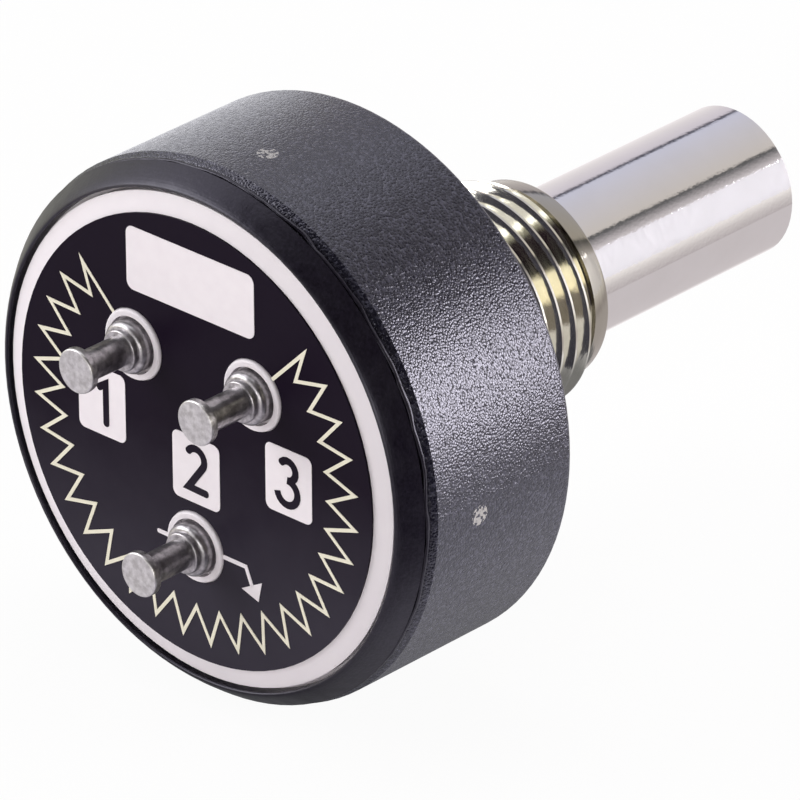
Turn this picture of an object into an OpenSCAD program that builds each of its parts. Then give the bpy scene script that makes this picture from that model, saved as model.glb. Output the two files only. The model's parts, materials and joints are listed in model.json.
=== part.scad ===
// Panel-mounted rotary potentiometer, one turn, 7/8 inch body, with a threaded bushing and a plain shaft.
// Every piece is drawn as seen from the rear: X to the right, Y up, and Z as the distance behind the
// mounting face. upright() then turns the whole into its own frame, with the shaft along +Y and +Z up.

/* [Body] */
// Diameter of the body
body_d = 22.5; // [21.6:0.1:26]
// Mounting face to the printed rear face
body_depth = 9.1; // [8.7:0.05:14]
// Thickness of the moulded side wall
side_wall = 1.5; // [1.3:0.05:1.8]
// Thickness of the front wall
front_wall = 1.6; // [1.2:0.05:1.9]
// Radius of the front edge
front_edge_r = 0.25; // [0.1:0.05:0.6]

/* [Rear bezel] */
// Radial width of the smooth bezel
bezel_w = 0.98; // [0.85:0.01:1.2]
// Printed face down to the top of the bezel
bezel_drop = 0.15; // [0.05:0.01:0.3]
// Radial width of the shoulder where the bezel's side bends into its top
bezel_shoulder = 0.15; // [0.05:0.01:0.25]
// Gap between the bezel and the white edge of the board
bezel_gap = 0.15; // [0.08:0.01:0.3]
// How far the wall draws in towards the weld bead
rim_taper = 0.15; // [0.05:0.01:0.2]
// Length over which it draws in
taper_len = 0.2; // [0.1:0.01:0.4]
// Depth of the groove that the weld bead fills
bead_depth = 0.18; // [0.1:0.01:0.25]
// How far the weld bead stands out of the wall
bead_proud = 0.04; // [0.02:0.01:0.08]

/* [Terminal board] */
// Width of the sloping white edge
slope_w = 0.81; // [0.5:0.01:1.2]
// Printed face down to the foot of the slope
slope_drop = 0.33; // [0.2:0.01:0.38]
// Radial width of the foot that the bezel traps
foot_w = 0.4; // [0.3:0.01:0.5]
// Thickness of that foot
foot_t = 0.5; // [0.3:0.01:0.55]
// Printed face down to the seat on the housing
seat_depth = 1.2; // [1.1:0.01:1.3]
// Thickness of the board in the middle, with the print
board_t = 1.75; // [1.6:0.05:2]
// Thickness of the printed disc
print_t = 0.1; // [0.05:0.01:0.15]
// Depth of the blind hole that the shaft's tail turns in
pivot_depth = 0.85; // [0.5:0.05:1]

/* [Terminals] */
// Diameter of the circle that the terminals stand on
terminal_circle_d = 8.94; // [8.5:0.02:9.6]
// Height of a terminal over the printed face
terminal_h = 3.15; // [2.5:0.05:5]
// Diameter of the post
post_d = 1.24; // [1:0.02:1.4]
// Diameter of the head
head_d = 1.84; // [1.6:0.02:2.2]
// Thickness of the head
head_t = 0.35; // [0.2:0.01:0.6]
// Diameter of the collar
collar_d = 2.16; // [2:0.02:2.4]
// Height of the collar over the printed face
collar_h = 0.6; // [0.4:0.02:0.8]
// Diameter of the step on the collar
step_d = 1.7; // [1.5:0.02:1.9]
// Height of that step
step_h = 0.22; // [0.15:0.01:0.4]
// Width of the raised white rim round the collar
pad_w = 0.27; // [0.2:0.01:0.4]
// Height of that rim over the printed face
pad_h = 0.12; // [0.08:0.01:0.35]
// Depth of the collar's pocket under the printed face
pocket_depth = 0.25; // [0.15:0.01:0.4]
// Gap between the collar and its pocket
pocket_gap = 0.12; // [0.05:0.01:0.18]
// Diameter of the rolled end on the element
rolled_d = 1.9; // [1.7:0.02:2]
// Thickness of the rolled end
rolled_t = 0.2; // [0.15:0.01:0.3]

/* [Bushing] */
// Major diameter of the thread
thread_d = 9.525; // [9:0.005:10]
// Distance from one ring groove of the thread to the next
thread_pitch = 0.794; // [0.7:0.002:1.1]
// Depth of those grooves
thread_depth = 0.48; // [0.3:0.01:0.5]
// Width of the crest between two grooves
crest_w = 0.16; // [0.1:0.01:0.2]
// Width of the floor of a groove
root_w = 0.1; // [0.05:0.01:0.15]
// Width of the last crest, next to the nose
last_crest_w = 0.35; // [0.2:0.01:0.6]
// Radial step from the thread to the plain seat in the front wall
pilot_step = 0.2; // [0.17:0.01:0.4]
// Mounting face to the end of the bushing
bushing_len = 9.95; // [7:0.005:16]
// Length of the plain nose past the thread, with its chamfer
nose_len = 1.5; // [0.9:0.02:1.6]
// Diameter of the plain nose
nose_d = 8.4; // [8:0.05:8.8]
// Diameter of the flange inside the front wall
flange_d = 13.2; // [12:0.1:14.4]
// Thickness of the flange
flange_t = 1.1; // [0.9:0.05:1.2]
// How deep the flange is let into the front wall
flange_inset = 0.7; // [0.5:0.05:0.8]

/* [Shaft] */
// Diameter of the shaft
shaft_d = 6.35; // [6:0.01:6.6]
// Mounting face to the end of the shaft
shaft_len = 22.225; // [18:0.005:40]
// Depth of the neck where the shaft enters the bushing
neck_depth = 0.25; // [0.17:0.01:0.35]
// Length of the neck
neck_len = 0.9; // [0.7:0.05:1.5]
// How far the neck shows past the end of the bushing
neck_gap = 0.1; // [0.05:0.05:0.5]
// Chamfer at the end of the shaft
shaft_chamfer = 0.2; // [0.1:0.01:0.5]
// Diameter of the tail that turns in the board
tail_d = 3; // [2.4:0.05:3.2]
// Depth of the groove for the retaining ring
groove_depth = 0.475; // [0.3:0.005:0.6]

/* [Rotor] */
// Thickness of the thrust washer
washer_t = 0.25; // [0.15:0.01:0.3]
// Diameter of the thrust washer and the spring washer
washer_d = 10.8; // [9.6:0.1:11.6]
// Height of the spring washer
spring_h = 0.4; // [0.3:0.01:0.45]
// Thickness of the spring washer's metal
spring_t = 0.15; // [0.1:0.01:0.2]
// Thickness of the retaining ring
ring_t = 0.5; // [0.4:0.01:0.55]
// Outer diameter of the retaining ring
ring_d = 8.8; // [8.4:0.1:9.4]
// Angle of the retaining ring's mouth
ring_mouth = 70; // [50:1:90]
// Radial room between the hub and the wall of the housing
hub_room = 0.6; // [0.4:0.05:1.2]
// Thickness of the hub
hub_t = 1.15; // [1:0.05:1.25]
// Diameter of the boss on the hub
boss_d = 8.8; // [8.2:0.1:9]
// Height of the boss
boss_h = 0.35; // [0.2:0.01:0.4]

/* [Wiper] */
// Angle that the wiper points to, with 270 as straight down
wiper_angle = 270; // [200:1:340]
// Thickness of the spring sheet
sheet_t = 0.1; // [0.06:0.01:0.12]
// Width of one finger
finger_w = 0.28; // [0.18:0.01:0.32]
// Spacing of the fingers
finger_pitch = 0.42; // [0.36:0.01:0.46]
// Number of fingers on the track
track_fingers = 5; // [3:1:5]
// Number of fingers on the collector ring
collector_fingers = 3; // [2:1:3]
// Length of the fingers on the track
finger_len = 3.4; // [3:0.1:3.8]
// Width of the wiper's seat round the boss
seat_w = 1.3; // [1.1:0.05:1.4]
// Diameter of the moulded stakes that hold the wiper
stake_d = 0.7; // [0.5:0.05:0.8]
// Number of stakes
stakes = 4; // [2:1:6]

/* [Element] */
// Thickness of the element's disc
element_t = 0.9; // [0.7:0.05:1.1]
// Thickness of the track, the ring and the leads
film_t = 0.08; // [0.05:0.01:0.1]
// Edge of the element's disc to the edge of the track
track_margin = 0.3; // [0.15:0.05:0.8]
// Width of the resistive track
track_w = 2; // [1.8:0.05:2.4]
// Angle left open between the ends of the track
track_open = 20; // [12:1:30]
// Angle of the contact at each end of the track
end_contact = 3; // [2:0.5:5]
// Middle diameter of the collector ring
collector_d = 5.2; // [4.9:0.05:5.4]
// Width of the collector ring
collector_w = 0.8; // [0.6:0.05:0.9]
// Width of a printed lead
lead_w = 0.7; // [0.5:0.05:1]

/* [Locating pin] */
// Diameter of the pin
pin_d = 1.57; // [1.2:0.01:2]
// Height of the pin over the mounting face
pin_h = 1.2; // [0.8:0.05:2]
// Radial step from the pin to its root in the front wall
root_step = 0.2; // [0.17:0.01:0.3]
// Outer wall of the body to the middle of the pin
pin_inset = 3.33; // [2.4:0.01:3.6]
// Depth of the pin in the front wall
pin_seat = 0.8; // [0.5:0.05:0.9]

/* [Fits] */
// Radial clearance of the shaft in the bushing
shaft_fit = 0.03; // [0.01:0.01:0.06]
// Radial clearance of the tail in the board
tail_fit = 0.05; // [0.02:0.01:0.08]
// Radial clearance between pieces that stand still in each other
seat_fit = 0.03; // [0.01:0.01:0.05]
// Axial gap between pieces that turn past each other
run_gap = 0.05; // [0.03:0.01:0.08]
// Axial gap between the retaining ring and the hub
hub_gap = 0.1; // [0.05:0.01:0.15]

/* [Hidden] */
$fn = 96;

// Directions of the three terminals from the axis
terminal_angles = [135, 270, 45];
// Direction of the locating pin
pin_angle = 180;
// Direction of the middle of the track's opening
open_angle = 90;

// Radii, from the outside in
body_r = body_d / 2;
bezel_r = body_r - bezel_w;
board_r = bezel_r - bezel_gap;
print_r = board_r - slope_w;
foot_r = board_r + foot_w;
cavity_r = body_r - side_wall;
seam_r = body_r - rim_taper;
spigot_r = cavity_r - seat_fit;
element_r = spigot_r - seat_fit;
thread_r = thread_d / 2;
pilot_r = thread_r + pilot_step;
shaft_r = shaft_d / 2;
neck_r = shaft_r - neck_depth;
bore_r = shaft_r + shaft_fit;
tail_r = tail_d / 2;
pivot_r = tail_r + tail_fit;
groove_r = shaft_r - groove_depth;
hub_r = cavity_r - hub_room;
track_r = element_r - track_margin - track_w / 2;
terminal_r = terminal_circle_d / 2;
collar_r = collar_d / 2;
pocket_r = collar_r + pocket_gap;
pad_r = pocket_r + pad_w;
hole_r = post_d / 2 + seat_fit;
root_r = pin_d / 2 + root_step;
pin_offset = body_r - pin_inset;

// Levels behind the mounting face, from the rear forward
face_z = body_depth;
board_z = face_z - print_t;
bezel_z = face_z - bezel_drop;
slope_z = face_z - slope_drop;
seat_z = face_z - seat_depth;
foot_z = seat_z + foot_t;
inner_z = face_z - board_t;
element_z = inner_z - element_t;
film_z = element_z - film_t;
contact_z = film_z - run_gap;

// Levels behind the mounting face, from the front back
flange_z = front_wall - flange_inset;
washer_z = flange_z + flange_t + run_gap;
spring_z = washer_z + washer_t;
ring_z = spring_z + spring_h;
hub_z = ring_z + ring_t + hub_gap;
sheet_z = hub_z + hub_t;
boss_z = sheet_z + boss_h;

// Points along an arc about c, from angle a0 to angle a1
function arc(c, r, a0, a1, steps = 8) =
    [for (i = [0 : steps]) let (a = a0 + (a1 - a0) * i / steps) c + r * [cos(a), sin(a)]];

// Points between a and c on the curve that leaves a towards b and reaches c from b
function bend(a, b, c, steps = 8) =
    [for (i = [1 : steps - 1]) let (t = i / steps) (1 - t) * (1 - t) * a + 2 * t * (1 - t) * b + t * t * c];

// A bent strip of sheet: the line of its upper side, and the same line one thickness lower
function strip(line, t) = concat(line, [for (i = [len(line) - 1 : -1 : 0]) line[i] - [0, t]]);

module upright() {
    rotate([90, 0, 0]) children();
}

module at_angle(angle, distance) {
    rotate([0, 0, angle]) translate([distance, 0, 0]) rotate([0, 0, -angle]) children();
}

// A flat ring between two radii, from level z up through thickness t
module flat_ring(inner_r, outer_r, z, t) {
    translate([0, 0, z]) linear_extrude(t) difference() {
        circle(outer_r);
        circle(inner_r);
    }
}

// Moulded cup with the seat for the bushing's flange inside its front wall
module housing() {
    color("#2e2d33") upright() difference() {
        rotate_extrude() polygon(concat(
            [[pilot_r + seat_fit, 0]],
            arc([body_r - front_edge_r, front_edge_r], front_edge_r, -90, 0),
            [
                [body_r, seat_z - bead_depth - taper_len],
                [seam_r, seat_z - bead_depth],
                [seam_r - bead_depth, seat_z],
                [cavity_r, seat_z],
                [cavity_r, front_wall],
                [flange_d / 2 + seat_fit, front_wall],
                [flange_d / 2 + seat_fit, flange_z],
                [pilot_r + seat_fit, flange_z],
            ]));
        at_angle(pin_angle, pin_offset)
            translate([0, 0, -1]) cylinder(h = pin_seat + 1, r = root_r + seat_fit);
    }
}

// Smooth ring that traps the foot of the terminal board
module rear_bezel() {
    lip_r = bezel_gap / 2;
    foot = [seam_r, seat_z + bead_depth];
    top = [bezel_r + lip_r, bezel_z];
    color("#232228") upright() rotate_extrude() polygon(concat(
        [[seam_r - bead_depth, seat_z], foot],
        bend(foot, top + [bezel_shoulder, 0], top),
        arc([bezel_r + lip_r, bezel_z - lip_r], lip_r, 90, 180, 4),
        [
            [bezel_r, foot_z],
            [foot_r + seat_fit, foot_z],
            [foot_r + seat_fit, seat_z],
        ]));
}

// Bead that fills the groove between the housing and the bezel
module weld_bead() {
    half_w = bead_depth * 0.45;
    color("#17161b") upright() rotate_extrude() polygon([
        [seam_r - bead_depth, seat_z],
        [seam_r, seat_z - bead_depth],
        [seam_r + bead_proud, seat_z - half_w],
        [seam_r + bead_proud, seat_z + half_w],
        [seam_r, seat_z + bead_depth],
    ]);
}

// White board that carries the terminals, with a sloping edge round the print
module terminal_board() {
    round_r = min(pad_w / 2, pad_h);
    color("#ebe8ec") upright() difference() {
        union() {
            rotate_extrude() polygon([
                [0, inner_z + pivot_depth],
                [pivot_r, inner_z + pivot_depth],
                [pivot_r, inner_z],
                [spigot_r, inner_z],
                [spigot_r, seat_z],
                [foot_r, seat_z],
                [foot_r, foot_z],
                [board_r, foot_z],
                [board_r, slope_z],
                [print_r, board_z],
                [0, board_z],
            ]);
            for (angle = terminal_angles)
                at_angle(angle, terminal_r) rotate_extrude() polygon(concat(
                    [[0, board_z - print_t], [pad_r, board_z - print_t]],
                    arc([pad_r - round_r, face_z + pad_h - round_r], round_r, 0, 90),
                    [[0, face_z + pad_h]]));
        }
        for (angle = terminal_angles) at_angle(angle, terminal_r) {
            translate([0, 0, face_z - pocket_depth]) cylinder(h = pocket_depth + 2 * pad_h, r = pocket_r);
            translate([0, 0, inner_z - 1]) cylinder(h = board_t + 1, r = hole_r);
        }
    }
}

// Black printed disc on the board, open at the three pads
module face_label() {
    color("#2a2430") upright() difference() {
        translate([0, 0, board_z]) cylinder(h = print_t, r = print_r);
        for (angle = terminal_angles) at_angle(angle, terminal_r)
            translate([0, 0, board_z - 1]) cylinder(h = print_t + 2, r = pad_r + seat_fit);
    }
}

// Pin on the mounting face that keeps the body from turning in its panel
module locating_pin() {
    tip = pin_d / 8;
    color("#2e2d33") upright() at_angle(pin_angle, pin_offset) rotate_extrude() polygon([
        [0, -pin_h],
        [pin_d / 2 - tip, -pin_h],
        [pin_d / 2, tip - pin_h],
        [pin_d / 2, 0],
        [root_r, 0],
        [root_r, pin_seat],
        [0, pin_seat],
    ]);
}

// Threaded bushing with its plain nose, and the flange inside the front wall. Ring grooves at the pitch
// stand for the thread; its first crest starts at the mounting face.
module bushing() {
    nose_r = nose_d / 2;
    end_chamfer = nose_len / 10;
    thread_end = nose_len - bushing_len;
    first_groove = thread_end + last_crest_w;
    groove_w = thread_pitch - crest_w;
    flank = (groove_w - root_w) / 2;
    valley_r = thread_r - thread_depth;
    grooves = floor(-first_groove / thread_pitch);
    color("#cfc9b4") upright() rotate_extrude() polygon(concat(
        [
            [bore_r, -bushing_len],
            [nose_r - end_chamfer, -bushing_len],
            [nose_r, end_chamfer - bushing_len],
            [nose_r, thread_end - (thread_r - nose_r)],
            [thread_r, thread_end],
        ],
        [for (i = [0 : grooves - 1]) let (z = first_groove + i * thread_pitch) each [
            [thread_r, z],
            [valley_r, z + flank],
            [valley_r, z + flank + root_w],
            [thread_r, z + groove_w],
        ]],
        [
            [thread_r, 0],
            [pilot_r, 0],
            [pilot_r, flange_z],
            [flange_d / 2, flange_z],
            [flange_d / 2, flange_z + flange_t],
            [bore_r, flange_z + flange_t],
        ]));
}

// Plain shaft with a groove for its ring and a thin tail behind the hub
module shaft() {
    tail_end = inner_z + pivot_depth - run_gap;
    neck_z = -bushing_len - neck_gap;
    color("#d9d8da") upright() rotate_extrude() polygon([
        [0, -shaft_len],
        [shaft_r - shaft_chamfer, -shaft_len],
        [shaft_r, shaft_chamfer - shaft_len],
        [shaft_r, neck_z],
        [neck_r, neck_z],
        [neck_r, neck_z + neck_len],
        [shaft_r, neck_z + neck_len],
        [shaft_r, ring_z - seat_fit],
        [groove_r, ring_z - seat_fit],
        [groove_r, ring_z + ring_t + seat_fit],
        [shaft_r, ring_z + ring_t + seat_fit],
        [shaft_r, boss_z],
        [tail_r, boss_z],
        [tail_r, tail_end - shaft_chamfer],
        [tail_r - shaft_chamfer, tail_end],
        [0, tail_end],
    ]);
}

// Flat washer behind the flange of the bushing
module thrust_washer() {
    color("#c8b26a") upright() flat_ring(shaft_r + tail_fit, washer_d / 2, washer_z, washer_t);
}

// Dished washer that takes up the shaft's end play
module spring_washer() {
    inner_r = shaft_r + tail_fit;
    outer_r = washer_d / 2;
    dish = spring_h - spring_t;
    color("#9a9ca0") upright() rotate_extrude() polygon([
        [inner_r, spring_z + dish],
        [outer_r, spring_z],
        [outer_r, spring_z + spring_t],
        [inner_r, spring_z + spring_h],
    ]);
}

// Open ring in the groove of the shaft
module retaining_ring() {
    reach = ring_d;
    half = ring_mouth / 2;
    color("#6d6f74") upright() difference() {
        flat_ring(groove_r + seat_fit, ring_d / 2, ring_z, ring_t);
        translate([0, 0, ring_z - 1]) linear_extrude(ring_t + 2) polygon([
            [0, 0],
            reach * [cos(half), sin(half)],
            [2 * reach, 0],
            reach * [cos(half), -sin(half)],
        ]);
    }
}

// Places of the moulded stakes round the boss
module at_stakes() {
    for (i = [0 : stakes - 1])
        rotate([0, 0, 45 + i * 360 / stakes])
            translate([(boss_d + seat_w) / 2 + seat_fit, 0, 0]) children();
}

// Moulded hub, pressed on the shaft, with the stakes that hold the wiper
module rotor_hub() {
    head_h = sheet_t * 2;
    color("#3b3a3e") upright() {
        difference() {
            union() {
                translate([0, 0, hub_z]) cylinder(h = hub_t, r = hub_r);
                translate([0, 0, hub_z]) cylinder(h = hub_t + boss_h, d = boss_d);
                rotate([0, 0, wiper_angle]) at_stakes()
                    translate([0, 0, hub_z]) cylinder(h = hub_t + head_h, d = stake_d);
            }
            translate([0, 0, hub_z - 1]) cylinder(h = hub_t + boss_h + 2, r = shaft_r);
        }
    }
}

// One spring finger: it leaves the sheet, climbs to the contact and turns down at its tip
module finger(length, contact) {
    top = sheet_z + sheet_t;
    bend = length / 8;
    rotate([90, 0, 0]) linear_extrude(finger_w, center = true) polygon(strip([
        [-bend, top],
        [0, top],
        [length - 2 * bend, contact - bend / 2],
        [length - bend, contact],
        [length, contact - bend / 3],
    ], sheet_t));
}

// One stamped spring, with one set of fingers on the track and one on the collector ring
module wiper() {
    collector_r = collector_d / 2;
    seat_r = boss_d / 2 + seat_fit;
    arm_w = finger_len / 3;
    comb_w = (track_fingers - 1) * finger_pitch + finger_w;
    start_y = -finger_len * 5 / 8;
    inner_len = (seat_r + seat_w / 2 - collector_r) * 8 / 7;
    color("#c9a45c") upright() rotate([0, 0, wiper_angle]) {
        difference() {
            union() {
                flat_ring(seat_r, seat_r + seat_w, sheet_z, sheet_t);
                translate([seat_r + seat_w / 2, start_y - arm_w, sheet_z])
                    cube([track_r + comb_w / 2 - seat_r - seat_w / 2, arm_w, sheet_t]);
            }
            at_stakes()
                translate([0, 0, sheet_z - 1]) cylinder(h = sheet_t + 2, d = stake_d + 2 * seat_fit);
        }
        for (i = [0 : track_fingers - 1])
            translate([track_r + (i - (track_fingers - 1) / 2) * finger_pitch, start_y, 0])
                rotate([0, 0, 90]) finger(finger_len, contact_z);
        for (i = [0 : collector_fingers - 1])
            translate([seat_r + seat_w / 2, (i - (collector_fingers - 1) / 2) * finger_pitch, 0])
                rotate([0, 0, 180]) finger(inner_len, contact_z);
    }
}

// Insulating disc that the track and the ring are printed on
module element_disc() {
    color("#8a6f4d") upright() difference() {
        translate([0, 0, element_z]) cylinder(h = element_t, r = element_r);
        translate([0, 0, element_z - 1]) cylinder(h = element_t + 2, r = pivot_r + tail_fit);
        for (angle = terminal_angles) at_angle(angle, terminal_r)
            translate([0, 0, element_z - 1]) cylinder(h = element_t + 2, r = hole_r);
    }
}

// A piece of the track's ring, from angle a0 through a sweep
module track_piece(a0, sweep) {
    translate([0, 0, film_z]) rotate([0, 0, a0]) rotate_extrude(angle = sweep)
        translate([track_r - track_w / 2, 0]) square([track_w, film_t]);
}

module resistive_track() {
    color("#2b2b2b") upright() track_piece(open_angle + track_open / 2, 360 - track_open);
}

module collector_ring() {
    middle_r = collector_d / 2;
    color("#c9c9c4") upright()
        flat_ring(middle_r - collector_w / 2, middle_r + collector_w / 2, film_z, film_t);
}

// Printed lead from a terminal to one end of the track
module end_lead(angle, side) {
    contact_a = open_angle + side * (track_open - end_contact) / 2;
    start = terminal_r * [cos(angle), sin(angle)];
    end = (track_r - track_w / 2 + lead_w / 2) * [cos(contact_a), sin(contact_a)];
    run = end - start;
    color("#c9c9c4") upright() difference() {
        union() {
            translate([start[0], start[1], film_z]) rotate([0, 0, atan2(run[1], run[0])])
                translate([0, -lead_w / 2, 0]) cube([norm(run), lead_w, film_t]);
            track_piece(contact_a - end_contact / 2, end_contact);
        }
        track_piece(open_angle + track_open / 2, 360 - track_open);
        at_angle(angle, terminal_r) translate([0, 0, film_z - 1]) cylinder(h = film_t + 2, d = rolled_d);
    }
}

module end_lead_1() {
    end_lead(terminal_angles[0], 1);
}

module end_lead_3() {
    end_lead(terminal_angles[2], -1);
}

// Printed lead from the middle terminal to the collector ring
module collector_lead() {
    angle = terminal_angles[1];
    color("#c9c9c4") upright() difference() {
        rotate([0, 0, angle]) translate([collector_d / 2, -lead_w / 2, film_z])
            cube([terminal_r - collector_d / 2, lead_w, film_t]);
        translate([0, 0, film_z - 1]) cylinder(h = film_t + 2, d = collector_d + collector_w);
        at_angle(angle, terminal_r) translate([0, 0, film_z - 1]) cylinder(h = film_t + 2, d = rolled_d);
    }
}

// Turned terminal: a rolled end on the element, the shank, a stepped collar, the post and the head
module terminal(angle) {
    post_r = post_d / 2;
    head_r = head_d / 2;
    step_r = step_d / 2;
    rolled_r = rolled_d / 2;
    collar_z = face_z + collar_h;
    step_z = collar_z + step_h;
    top_z = face_z + terminal_h;
    collar_edge = collar_r - step_r;
    step_edge = step_h / 3;
    head_edge = head_t / 5;
    color("#c4c2c0") upright() at_angle(angle, terminal_r) rotate_extrude() polygon(concat(
        [
            [0, element_z - rolled_t],
            [rolled_r - rolled_t / 2, element_z - rolled_t],
            [rolled_r, element_z - rolled_t / 2],
            [rolled_r, element_z],
            [post_r, element_z],
            [post_r, face_z - pocket_depth],
            [collar_r, face_z - pocket_depth],
        ],
        arc([collar_r - collar_edge, collar_z - collar_edge], collar_edge, 0, 90),
        arc([step_r - step_edge, step_z - step_edge], step_edge, 0, 90, 4),
        [[post_r, step_z], [post_r, top_z - head_t]],
        arc([head_r - head_edge, top_z - head_t + head_edge], head_edge, -90, 0, 4),
        arc([head_r - head_edge, top_z - head_edge], head_edge, 0, 90, 4),
        [[0, top_z]]));
}

module terminal_1() {
    terminal(terminal_angles[0]);
}

module terminal_2() {
    terminal(terminal_angles[1]);
}

module terminal_3() {
    terminal(terminal_angles[2]);
}

housing();
rear_bezel();
weld_bead();
terminal_board();
face_label();
locating_pin();
bushing();
shaft();
thrust_washer();
spring_washer();
retaining_ring();
rotor_hub();
wiper();
element_disc();
resistive_track();
collector_ring();
end_lead_1();
end_lead_3();
collector_lead();
terminal_1();
terminal_2();
terminal_3();
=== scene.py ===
"""Finishes, thread, print and studio of the rotary potentiometer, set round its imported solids.

Sizes here are in millimetres unless a name says otherwise. X runs to the right of the printed face,
Y runs along the shaft away from the body, and Z runs to the top of the printed face.
"""
import json
import math

import bpy
from mathutils import Matrix, Vector


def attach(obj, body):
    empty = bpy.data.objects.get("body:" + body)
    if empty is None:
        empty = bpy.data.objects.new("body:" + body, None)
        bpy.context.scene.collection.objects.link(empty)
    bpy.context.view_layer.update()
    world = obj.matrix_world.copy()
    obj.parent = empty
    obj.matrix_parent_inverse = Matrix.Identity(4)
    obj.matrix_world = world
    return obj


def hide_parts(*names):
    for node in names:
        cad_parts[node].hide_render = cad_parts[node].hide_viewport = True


MM = 0.001

# Body
FACE_Y = -9.1
HEAD_Y = -12.2
SEAM_R = 11.1
SEAM_Y = -7.9

# Bushing
THREAD_R = 4.7625
PITCH = 0.79375
ROOT_R = 4.2825
CREST_W = PITCH / 8
ROOT_W = PITCH / 6
THREAD_END = 8.45
GROOVE_START = 0.83 * PITCH
GROOVE_TURNS = 11
NOSE_R = 4.2
RELIEF_START = 9.0
RELIEF_END = 9.12
RELIEF_DEPTH = 0.3
NOSE_FINISH_START = 9.1
BUSHING_END = 9.95
BORE_R = 3.205
PILOT_R = 4.9625
FLANGE_R = 6.6
FLANGE_Y = -0.9
FLANGE_BACK = -2.0
BUSHING_SIDES = 192

# Grain of the housing
PEBBLE = 0.1
INK_DOTS = [(0.64, -5.53, 11.23), (11.23, -5.2, -0.6)]
INK_DOT_R = 0.42

# Print
INK = 0.02
INK_SINK = 0.004
OUTER_R = 8.47
INNER_R = 7.07
ZIGZAG_STEP = 5
ZIGZAG_W = 0.15
LEAD_START = 5.85
LEAD_CUT = 0.19
POINTER_W = 0.18
DIGIT_W = 0.31
DIGIT_LIFT = 0.8
DIGIT_LIFT_STEP = 0.1
BOX_CORNER = 0.3

# Camera, fitted to the edges of the part
CAMERA_AZIMUTH = 43.225
CAMERA_ELEVATION = 27.274
CAMERA_ROLL = -0.3085
CAMERA_DISTANCE = 369.47
CAMERA_FOCAL_PX = 9524.85
FRAME_PX = 800
SENSOR = 36
AIM_RIGHT = 1.6346
AIM_UP = -1.4264

FLOOR_Z = -11.29


class Value:
    """A socket of a shader tree; arithmetic on it adds Math nodes."""

    def __init__(self, finish, socket):
        self.finish = finish
        self.socket = socket

    def math(self, operation, *others):
        return self.finish.add("ShaderNodeMath", {"operation": operation}, dict(enumerate((self, *others))))

    def __add__(self, other):
        return self.math("ADD", other)

    def __sub__(self, other):
        return self.math("SUBTRACT", other)

    def __rsub__(self, other):
        return self.finish.add("ShaderNodeMath", {"operation": "SUBTRACT"}, {0: other, 1: self})

    def __mul__(self, other):
        return self.math("MULTIPLY", other)

    def __truediv__(self, other):
        return self.math("DIVIDE", other)

    def __lt__(self, other):
        return self.math("LESS_THAN", other)

    def __gt__(self, other):
        return self.math("GREATER_THAN", other)

    __radd__ = __add__
    __rmul__ = __mul__


class Finish:
    """A shader tree under construction: a material's, or the world's."""

    def __init__(self, tree):
        self.tree = tree

    def add(self, kind, settings=None, sockets=None, output=0):
        """Adds a node: its settings first, then the values or links of its sockets."""
        node = self.tree.nodes.new(kind)
        for name, setting in (settings or {}).items():
            if name == "stops":
                self.set_stops(node.color_ramp, setting)
            else:
                setattr(node, name, setting)
        for name, value in (sockets or {}).items():
            self.feed(node.inputs[name], value)
        return Value(self, node.outputs[output])

    def feed(self, socket, value):
        if isinstance(value, Value):
            self.tree.links.new(value.socket, socket)
        elif hasattr(socket.default_value, "__len__") and len(value) < len(socket.default_value):
            socket.default_value = (*value, 1)
        else:
            socket.default_value = value

    def set_stops(self, ramp, stops):
        while len(ramp.elements) < len(stops):
            ramp.elements.new(1)
        for element, (place, colour) in zip(ramp.elements, stops):
            element.position = place
            element.color = (*colour, 1)

    def place(self):
        """Object coordinates, in metres."""
        return self.add("ShaderNodeTexCoord", output="Object")

    def noise(self, size, detail=2, roughness=0.5, stretch=None):
        """Smooth noise between 0 and 1, whose features are about as large as size."""
        at = self.place()
        if stretch:
            at = self.add("ShaderNodeMapping", None, {"Vector": at, "Scale": stretch})
        return self.add("ShaderNodeTexNoise", None, {
            "Vector": at,
            "Scale": 1 / (size * MM),
            "Detail": detail,
            "Roughness": roughness,
        })

    def cells(self, size, output):
        """Cells about as large as size: a point's Distance from its cell's middle, or the Color."""
        sockets = {"Vector": self.place(), "Scale": 1 / (size * MM)}
        return self.add("ShaderNodeTexVoronoi", None, sockets, output=output)

    def spread(self, value, low, high, to_low=0, to_high=1):
        """Maps low..high to to_low..to_high, and holds the ends."""
        return self.add("ShaderNodeMapRange", None, {
            "Value": value,
            "From Min": low,
            "From Max": high,
            "To Min": to_low,
            "To Max": to_high,
        })

    def mix(self, factor, low, high):
        """A colour between low and high."""
        return self.add("ShaderNodeMix", {"data_type": "RGBA"}, {0: factor, 6: low, 7: high}, output=2)

    def bump(self, height, depth, strength=1, normal=None):
        """Relief of height times depth."""
        sockets = {"Height": height, "Distance": depth * MM, "Strength": strength}
        if normal:
            sockets["Normal"] = normal
        return self.add("ShaderNodeBump", None, sockets)


class Material(Finish):
    """A material with one Principled shader."""

    def __init__(self, name):
        self.material = bpy.data.materials.new(name)
        self.material.use_nodes = True
        super().__init__(self.material.node_tree)
        self.surface = self.tree.nodes["Principled BSDF"]

    def set(self, **sockets):
        for name, value in sockets.items():
            self.feed(self.surface.inputs[name.replace("_", " ")], value)
        return self.material


def select_only(piece):
    bpy.ops.object.select_all(action="DESELECT")
    piece.select_set(True)
    bpy.context.view_layer.objects.active = piece


def name_piece(name):
    piece = bpy.context.object
    piece.name = name
    piece.data.name = name
    return piece


def edit(piece, mode="VERT"):
    select_only(piece)
    bpy.ops.object.mode_set(mode="EDIT")
    bpy.ops.mesh.select_mode(type=mode)
    bpy.ops.mesh.select_all(action="SELECT")


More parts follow.
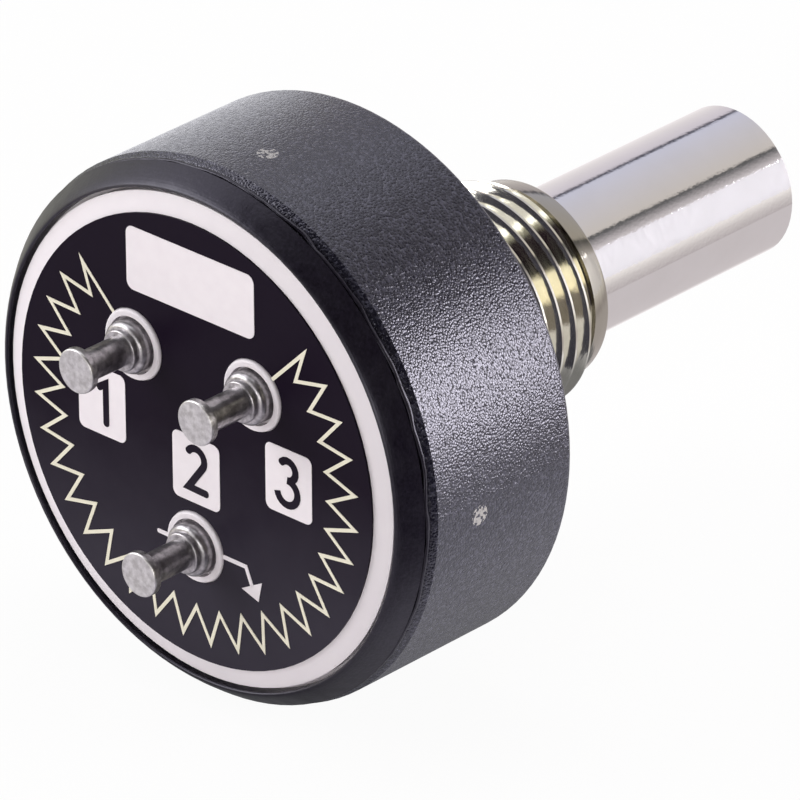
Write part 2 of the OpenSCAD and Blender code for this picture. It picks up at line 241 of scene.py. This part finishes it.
def leave_edit():
    bpy.ops.object.mode_set(mode="OBJECT")


def apply_place(piece):
    select_only(piece)
    bpy.ops.object.transform_apply(location=True, rotation=True, scale=True)


def apply_modifier(piece, kind, **settings):
    select_only(piece)
    modifier = piece.modifiers.new("shape", kind)
    for name, setting in settings.items():
        setattr(modifier, name, setting)
    bpy.ops.object.modifier_apply(modifier=modifier.name)


def select_parts(piece, parts, test):
    """In edit mode, selects the vertices, edges or polygons that pass a test."""
    bpy.ops.mesh.select_all(action="DESELECT")
    leave_edit()
    for part in getattr(piece.data, parts):
        part.select = bool(test(part))
    bpy.ops.object.mode_set(mode="EDIT")


def join(name, pieces):
    select_only(pieces[0])
    for piece in pieces:
        piece.select_set(True)
    bpy.ops.object.join()
    return name_piece(name)


def smooth(piece, angle):
    select_only(piece)
    bpy.ops.object.shade_smooth_by_angle(angle=math.radians(angle))


def dress(piece, material, body="stator"):
    piece.data.materials.clear()
    piece.data.materials.append(material)
    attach(piece, body)


def turned(name, outline, sides):
    """A turned ring: a circle drawn out through the outline's (radius, y) points and closed on itself."""
    radius, level = outline[0]
    bpy.ops.mesh.primitive_circle_add(
        vertices=sides, radius=radius * MM, location=(0, level * MM, 0), rotation=(math.radians(90), 0, 0))
    piece = name_piece(name)
    apply_place(piece)
    edit(piece)
    for next_radius, next_level in outline[1:]:
        step = (0, (next_level - level) * MM, 0)
        bpy.ops.mesh.extrude_edges_move(TRANSFORM_OT_translate={"value": step})
        ratio = next_radius / radius
        bpy.ops.transform.resize(value=(ratio, 1, ratio), center_override=(0, next_level * MM, 0))
        radius, level = next_radius, next_level
    bpy.ops.mesh.select_all(action="DESELECT")
    bpy.ops.mesh.select_mode(type="EDGE")
    bpy.ops.mesh.select_non_manifold()
    bpy.ops.mesh.bridge_edge_loops()
    bpy.ops.mesh.select_all(action="SELECT")
    bpy.ops.mesh.normals_make_consistent(inside=False)
    leave_edit()
    return piece


def thread_groove():
    """The cutter for the thread: the section of one groove, screwed along the bushing."""
    reach = 0.05
    outer_w = PITCH - CREST_W + 2 * reach * math.tan(math.radians(30))
    depth = THREAD_R + reach - ROOT_R
    bpy.ops.mesh.primitive_plane_add(size=1)
    groove = name_piece("thread_groove")
    edit(groove)
    bpy.ops.transform.resize(value=(depth * MM, outer_w * MM, 1))
    bpy.ops.transform.translate(value=((ROOT_R + depth / 2) * MM, GROOVE_START * MM, 0))
    select_parts(groove, "vertices", lambda v: v.co.x < (ROOT_R + depth / 2) * MM)
    bpy.ops.transform.resize(value=(1, ROOT_W / outer_w, 1))
    leave_edit()
    apply_modifier(
        groove, "SCREW", axis="Y", angle=2 * math.pi, screw_offset=PITCH * MM, iterations=GROOVE_TURNS,
        steps=96, render_steps=96, use_merge_vertices=False)
    edit(groove)
    bpy.ops.mesh.fill_holes(sides=4)
    bpy.ops.mesh.select_all(action="SELECT")
    bpy.ops.mesh.normals_make_consistent(inside=False)
    leave_edit()
    return groove


def threaded_bushing(material):
    end_r = 0.15
    blank = turned("threaded_bushing", [
        (BORE_R, BUSHING_END),
        (NOSE_R - end_r, BUSHING_END),
        (NOSE_R - 0.3 * end_r, BUSHING_END - 0.3 * end_r),
        (NOSE_R, BUSHING_END - end_r),
        (NOSE_R, RELIEF_END),
        (NOSE_R - RELIEF_DEPTH, RELIEF_END),
        (NOSE_R - RELIEF_DEPTH, RELIEF_START),
        (THREAD_R, THREAD_END),
        (THREAD_R, 0),
        (PILOT_R, 0),
        (PILOT_R, FLANGE_Y),
        (FLANGE_R, FLANGE_Y),
        (FLANGE_R, FLANGE_BACK),
        (BORE_R, FLANGE_BACK),
    ], BUSHING_SIDES)
    groove = thread_groove()
    apply_modifier(blank, "BOOLEAN", operation="DIFFERENCE", solver="EXACT", object=groove)
    bpy.data.objects.remove(groove)
    smooth(blank, 25)
    dress(blank, material)
    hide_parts("bushing")
    return blank


def seam_bead(material):
    """The wavy bead squeezed out between the bezel and the housing."""
    middle_r = SEAM_R - 0.07
    bead_r = 0.1
    bpy.ops.mesh.primitive_torus_add(
        major_radius=middle_r * MM, minor_radius=bead_r * MM, major_segments=900, minor_segments=10,
        location=(0, SEAM_Y * MM, 0), rotation=(math.radians(90), 0, 0))
    bead = name_piece("seam_bead")
    apply_place(bead)
    for name, size, height, direction in (("wave", 1.6, 0.3, "Y"), ("crumb", 0.22, 0.1, "NORMAL")):
        clouds = bpy.data.textures.new(name, "CLOUDS")
        clouds.noise_scale = size * MM
        apply_modifier(
            bead, "DISPLACE", texture=clouds, texture_coords="LOCAL", direction=direction,
            strength=height * MM, mid_level=0.5)
    smooth(bead, 60)
    dress(bead, material)
    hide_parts("weld_bead")
    return bead


def ink_up(piece, width=0):
    """Gives flat line work or a flat shape its thin body on the printed face."""
    edit(piece)
    bpy.ops.mesh.extrude_region_move(TRANSFORM_OT_translate={"value": (0, -(INK + INK_SINK) * MM, 0)})
    bpy.ops.mesh.select_all(action="SELECT")
    leave_edit()
    if width:
        apply_modifier(piece, "SOLIDIFY", thickness=width * MM, offset=0, use_even_offset=True)
    edit(piece)
    bpy.ops.mesh.normals_make_consistent(inside=False)
    leave_edit()


def stroke(name, points, width, round_ends=True):
    """A printed line through (x, z) points."""
    across, up = points[0]
    start = Vector((across, FACE_Y + INK_SINK, up)) * MM
    bpy.ops.mesh.primitive_plane_add(size=width * MM, location=start)
    line = name_piece(name)
    apply_place(line)
    edit(line)
    bpy.ops.mesh.merge(type="CENTER")
    for next_across, next_up in points[1:]:
        step = Vector((next_across - across, 0, next_up - up)) * MM
        bpy.ops.mesh.extrude_vertices_move(TRANSFORM_OT_translate={"value": step})
        across, up = next_across, next_up
    leave_edit()
    ink_up(line, width)
    if round_ends:
        ends = [Vector((x, 0, z)) * MM for x, z in (points[0], points[-1])]
        places = [v.co for v in line.data.vertices]

        def at_end(edge):
            a, b = (places[i] for i in edge.vertices)
            upright = abs(a.x - b.x) + abs(a.z - b.z) < 1e-7
            return upright and min((Vector((a.x, 0, a.z)) - end).length for end in ends) < 0.51 * width * MM

        edit(line, "EDGE")
        select_parts(line, "edges", at_end)
        bpy.ops.mesh.bevel(offset=0.45 * width * MM, segments=4)
        leave_edit()
    return line


def arc(centre, radius, start, end, steps=12):
    """Points on an arc, in degrees."""
    points = []
    for i in range(steps + 1):
        angle = math.radians(start + (end - start) * i / steps)
        points.append((centre[0] + radius * math.cos(angle), centre[1] + radius * math.sin(angle)))
    return points


def printed_box(name, centre, width, height, corner=BOX_CORNER):
    """A printed rectangle with rounded corners."""
    bpy.ops.mesh.primitive_plane_add(
        size=1, location=(centre[0] * MM, (FACE_Y + INK_SINK) * MM, centre[1] * MM),
        rotation=(math.radians(90), 0, 0))
    box = name_piece(name)
    box.scale = (width * MM, height * MM, 1)
    apply_place(box)
    edit(box)
    bpy.ops.mesh.bevel(offset=corner * MM, segments=6, affect="VERTICES")
    leave_edit()
    ink_up(box)
    return box


def resistor_symbol():
    """The zigzag round the face, open at the top, with its two leads to the terminals."""
    points = 360 // ZIGZAG_STEP
    bpy.ops.mesh.primitive_circle_add(
        vertices=points, radius=OUTER_R * MM, location=(0, (FACE_Y + INK_SINK) * MM, 0),
        rotation=(math.radians(90), 0, 0))
    symbol = name_piece("resistor_symbol")
    apply_place(symbol)
    open_half = math.radians(44)

    def angle_from_top(vertex):
        return math.atan2(vertex.co.x, vertex.co.z)

    edit(symbol)
    select_parts(symbol, "vertices", lambda v: round(math.degrees(angle_from_top(v))) % 10 == 0)
    ratio = INNER_R / OUTER_R
    bpy.ops.transform.resize(value=(ratio, 1, ratio), center_override=(0, FACE_Y * MM, 0))
    select_parts(symbol, "vertices", lambda v: abs(angle_from_top(v)) < open_half)
    bpy.ops.mesh.delete(type="VERT")
    cut = LEAD_CUT * math.sqrt(0.5) * MM
    reach = (LEAD_START - OUTER_R + LEAD_CUT) * math.sqrt(0.5) * MM
    for side in (-1, 1):
        select_parts(symbol, "vertices", lambda v: abs(angle_from_top(v) - side * math.radians(45)) < 0.01)
        bpy.ops.transform.translate(value=(-side * cut, 0, -cut))
        bpy.ops.mesh.extrude_vertices_move(TRANSFORM_OT_translate={"value": (side * reach, 0, reach)})
    leave_edit()
    ink_up(symbol, ZIGZAG_W)
    return symbol


def face_print(white, cream, black):
    zigzag = resistor_symbol()
    dress(zigzag, cream)

    pointer = [
        stroke("pointer", [(1.3, -4.37), (2.68, -4.37), (2.99, -5.1)], POINTER_W, round_ends=False),
        stroke("stub", [(-1.35, -4.47), (-2.05, -4.47)], POINTER_W),
        arrow_head(),
    ]
    pointer = join("wiper_pointer", pointer)
    dress(pointer, white)

    boxes = [
        printed_box("box_1", (-4.92, 0.1), 2.52, 2.9),
        printed_box("box_2", (0.1, -1.14), 2.5, 2.85),
        printed_box("box_3", (5.0, 0.06), 2.42, 2.85),
        printed_box("plate", (-0.08, 6.86), 6.74, 2.7, corner=0.35),
    ]
    boxes = join("printed_boxes", boxes)
    dress(boxes, white)

    digits = [
        stroke("digit_1", [(-5.16, 0.62), (-4.7, 0.92), (-4.7, -0.93)], DIGIT_W),
        stroke("digit_2", arc((0.09, -0.66), 0.46, 160, -28) + [(-0.31, -1.95), (0.76, -1.98)], DIGIT_W),
        stroke("digit_3_top", arc((4.96, 0.58), 0.42, 155, -90), DIGIT_W),
        stroke("digit_3_foot", arc((4.94, -0.36), 0.53, 90, -172, 16), DIGIT_W),
    ]
    for i, digit in enumerate(digits):
        lift = (DIGIT_LIFT + DIGIT_LIFT_STEP * i) * INK
        edit(digit)
        bpy.ops.transform.translate(value=(0, -lift * MM, 0))
        leave_edit()
    digits = join("terminal_numbers", digits)
    dress(digits, black)


def arrow_head():
    """The triangle at the end of the wiper's pointer."""
    corners = [(2.44, -5.38), (3.52, -4.78), (3.33, -5.66)]
    bpy.ops.mesh.primitive_circle_add(
        vertices=3, radius=MM, location=(0, (FACE_Y + INK_SINK) * MM, 0), rotation=(math.radians(90), 0, 0),
        fill_type="NGON")
    head = name_piece("arrow_head")
    apply_place(head)
    for vertex, (across, up) in zip(head.data.vertices, corners):
        vertex.co.x = across * MM
        vertex.co.z = up * MM
    ink_up(head)
    return head


def ink_dots(finish, places, radius):
    """Mask of the speckled ink dots at places on the housing."""
    speckle = finish.noise(0.16, detail=1) > 0.47
    dots = 0
    for place in places:
        middle = finish.add("ShaderNodeCombineXYZ", None, dict(enumerate(c * MM for c in place)))
        sockets = {0: finish.place(), 1: middle}
        away = finish.add("ShaderNodeVectorMath", {"operation": "DISTANCE"}, sockets, output=1)
        dots = (away < radius * MM) + dots
    return dots * speckle


def grained_black():
    """Black moulding whose wall is pebbled: small domes, some of them paler and some glossier."""
    m = Material("grained_black")
    away = m.cells(PEBBLE, "Distance")
    cell = m.cells(PEBBLE, "Color")
    shade = m.add("ShaderNodeSeparateColor", None, {0: cell})
    gloss = m.add("ShaderNodeSeparateColor", None, {0: cell}, output=1)
    dots = ink_dots(m, INK_DOTS, INK_DOT_R)
    dark = m.mix(m.spread(shade, 0.55, 1), (0.006, 0.006, 0.012), (0.045, 0.045, 0.065))
    m.surface.inputs["IOR"].default_value = 1.65
    m.surface.inputs["Specular Tint"].default_value = (0.87, 0.86, 1, 1)
    return m.set(
        Base_Color=m.mix(dots, dark, (0.34, 0.33, 0.32)),
        Roughness=m.spread(gloss, 0, 1, 0.12, 0.34),
        Normal=m.bump(m.noise(0.2, detail=2) * 0.4 - away * away, 0.02),
    )


def smooth_black():
    m = Material("smooth_black")
    patches = m.noise(0.7, detail=3)
    fine = m.noise(0.12, detail=2)
    m.surface.inputs["Specular IOR Level"].default_value = 0.52
    m.surface.inputs["Specular Tint"].default_value = (0.85, 0.83, 1, 1)
    return m.set(
        Base_Color=m.mix(m.spread(fine, 0.3, 0.75), (0.003, 0.002, 0.005), (0.011, 0.009, 0.016)),
        Roughness=m.spread(patches, 0.3, 0.7, 0.28, 0.38),
        Normal=m.bump(patches * 0.7 + fine * 0.3, 0.02),
    )


def white_board():
    m = Material("white_board")
    patches = m.noise(1.1, detail=3)
    return m.set(
        Base_Color=m.mix(patches, (0.80, 0.755, 0.80), (0.85, 0.815, 0.845)),
        Roughness=m.spread(patches, 0.3, 0.7, 0.38, 0.48),
        Normal=m.bump(m.noise(0.3), 0.003),
    )


def black_print():
    """Black ink, with a painted reflection that makes it a little paler towards the lower right of the
    face.
    """
    m = Material("black_print")
    patches = m.noise(1.8, detail=3, roughness=0.6)
    across = m.add("ShaderNodeSeparateXYZ", None, {0: m.place()})
    up = m.add("ShaderNodeSeparateXYZ", None, {0: m.place()}, output=2)
    # painted reflection: the ink is paler towards the lower right of the face, broken a little by random
    # patches
    painted_reflection = m.spread(across * 0.1 - up + patches * 0.003, 0.001, 0.008)
    m.surface.inputs["Specular IOR Level"].default_value = 0.08
    return m.set(
        Base_Color=m.mix(painted_reflection, (0.007, 0.003, 0.011), (0.034, 0.030, 0.043)),
        Roughness=m.spread(patches, 0.3, 0.7, 0.4, 0.5),
        Normal=m.bump(m.noise(0.2), 0.002),
    )


def printed_white(name, low, high):
    m = Material(name)
    patches = m.noise(0.5, detail=3)
    m.surface.inputs["Specular IOR Level"].default_value = 0.3
    return m.set(
        Base_Color=m.mix(patches, low, high),
        Roughness=m.spread(patches, 0.3, 0.7, 0.45, 0.6),
        Normal=m.bump(patches, 0.002),
    )


def plated_brass():
    m = Material("plated_brass")
    patches = m.noise(0.6, detail=3)
    marks = m.noise(0.12, detail=2, stretch=(0.15, 1, 0.15))
    along = m.add("ShaderNodeSeparateXYZ", None, {0: m.place()}, output=1)
    thread = m.mix(patches, (0.68, 0.66, 0.58), (0.79, 0.77, 0.70))
    return m.set(
        Metallic=1,
        Base_Color=m.mix(along > NOSE_FINISH_START * MM, thread, (0.46, 0.44, 0.39)),
        Roughness=m.spread(marks, 0.3, 0.7, 0.07, 0.14),
        Normal=m.bump(marks, 0.006),
    )


def polished_steel():
    m = Material("polished_steel")
    patches = m.noise(1.5, detail=2)
    marks = m.noise(0.1, detail=2, stretch=(0.2, 1, 0.2))
    return m.set(
        Metallic=1,
        Base_Color=m.mix(patches, (0.80, 0.79, 0.80), (0.86, 0.85, 0.87)),
        Roughness=m.spread(marks, 0.3, 0.7, 0.03, 0.07),
        Normal=m.bump(m.noise(0.14, detail=1) * 0.8 + marks * 0.2, 0.0036),
    )


def tinned():
    m = Material("tinned")
    patches = m.noise(0.5, detail=3, roughness=0.6)
    along = m.add("ShaderNodeSeparateXYZ", None, {0: m.place()}, output=1)
    mottle = m.spread(m.noise(0.3, detail=3, roughness=0.6), 0.35, 0.65)
    head = m.mix(mottle, (0.53, 0.52, 0.52), (0.78, 0.77, 0.78))
    post = m.mix(mottle, (0.30, 0.29, 0.30), (0.60, 0.58, 0.60))
    return m.set(
        Metallic=1,
        Base_Color=m.mix(along > HEAD_Y * MM, head, post),
        Roughness=m.spread(patches, 0.3, 0.7, 0.28, 0.42),
        Normal=m.bump(patches, 0.012),
    )


def rolled_metal(name, low, high, roughness):
    """Dull rolled sheet or wire, with fine lines along the rolling."""
    m = Material(name)
    lines = m.noise(0.1, detail=2, stretch=(0.1, 1, 1))
    return m.set(
        Metallic=1,
        Base_Color=m.mix(lines, low, high),
        Roughness=m.spread(lines, 0.3, 0.7, roughness, roughness + 0.15),
        Normal=m.bump(lines, 0.002),
    )


def moulded(name, low, high, roughness, grain=0.2):
    """Moulded or printed stuff with a fine even grain."""
    m = Material(name)
    fine = m.noise(grain, detail=3)
    return m.set(
        Base_Color=m.mix(fine, low, high),
        Roughness=m.spread(fine, 0.3, 0.7, roughness, roughness + 0.12),
        Normal=m.bump(fine, 0.006),
    )


def mask_of_ray(finish, *kinds):
    """1 for rays of these kinds, such as Is Camera Ray."""
    total = 0
    for kind in kinds:
        total = finish.add("ShaderNodeLightPath", output=kind) + total
    return finish.add("ShaderNodeClamp", None, {"Value": total})


def studio_world():
    """A white studio behind the lens, and bands of light, card and table that polished metal mirrors."""
    world = bpy.data.worlds.new("studio")
    world.use_nodes = True
    bpy.context.scene.world = world
    w = Finish(world.node_tree)
    background = world.node_tree.nodes["Background"]

    direction = w.add("ShaderNodeTexCoord", output="Generated")
    parts = w.add("ShaderNodeSeparateXYZ", None, {0: direction}, output=0)
    x = parts
    y = Value(w, parts.socket.node.outputs[1])
    z = Value(w, parts.socket.node.outputs[2])

    angle = z.math("ARCTAN2", x) / (2 * math.pi) + 0.5
    shaft_side = w.add("ShaderNodeValToRGB", {"stops": [
        (0.00, (0.85, 0.80, 0.80)),
        (0.12, (1.00, 0.95, 0.95)),
        (0.18, (0.65, 0.60, 0.60)),
        (0.38, (0.65, 0.60, 0.60)),
        (0.41, (0.50, 0.45, 0.45)),
        (0.47, (1.00, 0.95, 0.90)),
        (0.585, (1.00, 0.95, 1.00)),
        (0.595, (0.65, 0.60, 0.60)),
        (0.645, (0.10, 0.10, 0.10)),
        (0.655, (0.65, 0.60, 0.55)),
        (0.87, (0.65, 0.65, 0.75)),
        (0.885, (0.03, 0.03, 0.05)),
        (0.90, (0.70, 0.65, 0.70)),
        (1.00, (0.85, 0.80, 0.80)),
    ]}, {"Fac": angle})

    thread_side = w.add("ShaderNodeValToRGB", {"stops": [
        (0.00, (0.75, 0.75, 0.65)),
        (0.20, (0.25, 0.22, 0.20)),
        (0.52, (0.25, 0.22, 0.20)),
        (0.53, (1.75, 1.60, 1.20)),
        (0.59, (1.70, 1.60, 1.30)),
        (0.60, (0.01, 0.01, 0.01)),
        (0.70, (0.02, 0.01, 0.02)),
        (0.725, (0.75, 0.75, 0.65)),
    ]}, {"Fac": angle})

    sky = w.mix(w.spread(x, -0.5, -0.25), (1.45, 1.42, 1.52), (0.05, 0.04, 0.04))
    table = w.mix(w.spread(z, -0.22, -0.12), (0.70, 0.66, 0.70), (1.0, 0.95, 0.72))
    table = w.mix(w.spread(z, -0.98, -0.80), (0.64, 0.61, 0.70), table)
    table = w.mix(w.spread(x, 0.35, 0.7), table, (0.03, 0.02, 0.05))
    face_side = w.mix(w.spread(z, 0.03, 0.06), table, sky)

    metal_side = w.mix(w.spread(y, 0.48, 0.54), thread_side, shaft_side)
    seen = w.mix(w.spread(y, -0.05, 0.05), face_side, metal_side)
    plain = mask_of_ray(w, "Is Camera Ray")
    w.feed(background.inputs["Color"], w.mix(plain, seen, (1, 1, 1)))
    background.inputs["Strength"].default_value = 1


def floor_finish():
    """Pale floor that shows white, with the part's soft shadow on it."""
    f = Material("floor")
    f.set(Base_Color=(0.85, 0.83, 0.83), Roughness=0.9)
    glow = f.add("ShaderNodeEmission", None, {"Color": (1, 1, 1), "Strength": 1})
    clear = f.add("ShaderNodeBsdfTransparent")
    shown = mask_of_ray(f, "Is Camera Ray", "Is Glossy Ray", "Is Transmission Ray") * 0.95
    lit = f.add("ShaderNodeMixShader", None, {0: shown, 1: Value(f, f.surface.outputs[0]), 2: glow})
    under = f.add("ShaderNodeNewGeometry", output="Backfacing")
    both = f.add("ShaderNodeMixShader", None, {0: under, 1: lit, 2: clear})
    f.tree.links.new(both.socket, f.tree.nodes["Material Output"].inputs["Surface"])
    return f.material


def lamp(name, direction, distance, size, strength, colour):
    """A soft lamp that faces the part from a direction, at a distance in metres, of size in metres."""
    direction = Vector(direction).normalized()
    turn = direction.to_track_quat("Z", "Y").to_euler()
    bpy.ops.object.light_add(type="AREA", location=direction * distance, rotation=turn)
    light = bpy.context.object
    light.name = name
    light.data.name = name
    light.data.shape = "RECTANGLE"
    light.data.size, light.data.size_y = size
    light.data.energy = strength
    light.data.color = colour
    light.visible_camera = False


def light_card(name, place, turn, size, near, far, start=0, end=1):
    """A flat card that only reflections see; its place and size in millimetres, its turn in degrees.

    Its light goes from near at x = start to far at x = end.
    """
    bpy.ops.mesh.primitive_grid_add(
        x_subdivisions=2, y_subdivisions=2, size=1, location=Vector(place) * MM,
        rotation=[math.radians(angle) for angle in turn])
    card = name_piece(name)
    card.scale = (size[0] * MM, size[1] * MM, 1)
    apply_place(card)
    glow = Material(name)
    glow.surface.inputs["Emission Strength"].default_value = 1
    across = glow.spread(glow.add("ShaderNodeSeparateXYZ", None, {0: glow.place()}), start * MM, end * MM)
    card.data.materials.append(glow.set(
        Base_Color=(0.02, 0.02, 0.02), Roughness=0.8, Emission_Color=glow.mix(across, near, far)))
    card.visible_camera = False
    card.visible_diffuse = False
    card.visible_shadow = False


def studio():
    studio_world()
    bpy.ops.mesh.primitive_grid_add(
        x_subdivisions=4, y_subdivisions=4, size=1.2, location=(0, 0, FLOOR_Z * MM))
    floor = name_piece("floor")
    apply_place(floor)
    floor.data.materials.append(floor_finish())
    floor.visible_glossy = False
    floor.visible_shadow = False
    lamp("key", (0.748, 0.648, 0.145), 0.6, (0.28, 0.30), 3.4, (1, 0.97, 1))
    lamp("fill", (-0.70, -0.62, 0.40), 0.6, (0.35, 0.35), 1.42, (1, 0.99, 0.96))
    lamp("low_fill", (0.25, -0.95, 0.06), 0.6, (0.4, 0.1), 0.65, (1, 0.98, 0.98))
    lamp("top", (-0.2, 0.1, 1), 0.7, (0.4, 0.4), 1.2, (0.96, 0.96, 1))
    white = (1.3, 1.3, 1.36)
    shaft_light = (0.87, 0.84, 0.88)
    light_card("shaft_card", (34, 47, 8), (90, 0, 90), (36, 27), shaft_light, shaft_light)
    light_card("rim_card", (-26, 14, 9), (90, 0, 90), (18, 34), white, white)
    light_card("top_card", (-12, 22, 40), (0, 0, 0), (28, 26), (1.1, 1.1, 1.15), white)
    # Painted shadow: a card that only reflections see, dark near the part and paler further out, standing
    # in for the part's shadow on the floor.
    light_card(
        "floor_shadow_card", (15, 4, FLOOR_Z + 0.05), (0, 0, 0), (50, 30),
        (0.2, 0.2, 0.21), (0.9, 0.88, 0.92), start=5, end=13)


def camera():
    azimuth = math.radians(CAMERA_AZIMUTH)
    elevation = math.radians(CAMERA_ELEVATION)
    roll = math.radians(CAMERA_ROLL)
    turn = (Matrix.Rotation(azimuth, 3, "Z") @ Matrix.Rotation(math.pi / 2 - elevation, 3, "X"))
    aim = turn @ Vector((AIM_RIGHT, AIM_UP, 0))
    back = turn @ Vector((0, 0, 1))
    turn = turn @ Matrix.Rotation(roll, 3, "Z")
    bpy.ops.object.camera_add(location=(aim + back * CAMERA_DISTANCE) * MM, rotation=turn.to_euler())
    view = bpy.context.object
    view.data.sensor_width = SENSOR
    view.data.lens = CAMERA_FOCAL_PX * SENSOR / FRAME_PX
    view.data.clip_start = 0.01
    bpy.context.scene.camera = view


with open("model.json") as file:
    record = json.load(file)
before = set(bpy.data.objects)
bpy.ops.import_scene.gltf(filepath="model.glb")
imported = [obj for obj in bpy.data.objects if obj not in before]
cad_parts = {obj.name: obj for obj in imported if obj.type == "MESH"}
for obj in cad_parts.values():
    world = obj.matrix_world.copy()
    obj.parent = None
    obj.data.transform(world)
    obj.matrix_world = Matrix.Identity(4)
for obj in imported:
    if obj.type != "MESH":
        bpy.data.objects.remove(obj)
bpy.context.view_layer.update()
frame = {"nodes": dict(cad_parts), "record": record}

bpy.context.scene.view_settings.view_transform = "Standard"
camera()
studio()

finishes = {
    "grained_black": grained_black(),
    "smooth_black": smooth_black(),
    "white_board": white_board(),
    "black_print": black_print(),
    "plated_brass": plated_brass(),
    "polished_steel": polished_steel(),
    "tinned": tinned(),
    "spring_steel": rolled_metal("spring_steel", (0.42, 0.42, 0.44), (0.55, 0.55, 0.57), 0.25),
    "bronze": rolled_metal("bronze", (0.66, 0.45, 0.21), (0.78, 0.56, 0.29), 0.22),
    "silver_film": rolled_metal("silver_film", (0.72, 0.72, 0.70), (0.84, 0.84, 0.82), 0.3),
    "hub_plastic": moulded("hub_plastic", (0.07, 0.07, 0.075), (0.11, 0.11, 0.115), 0.42),
    "laminate": moulded("laminate", (0.28, 0.18, 0.09), (0.42, 0.29, 0.16), 0.5, grain=0.6),
    "carbon_film": moulded("carbon_film", (0.015, 0.015, 0.015), (0.028, 0.028, 0.028), 0.5, grain=0.1),
}
for part in frame["record"]["subparts"]:
    slots = frame["nodes"][part["node"]].material_slots
    for slot in slots:
        slot.material = finishes[part["material_slot"]]

threaded_bushing(finishes["plated_brass"])
seam_bead(finishes["smooth_black"])
face_print(
    printed_white("printed_white", (0.80, 0.75, 0.79), (0.87, 0.83, 0.86)),
    printed_white("printed_cream", (0.76, 0.73, 0.58), (0.84, 0.81, 0.68)),
    finishes["black_print"],
)
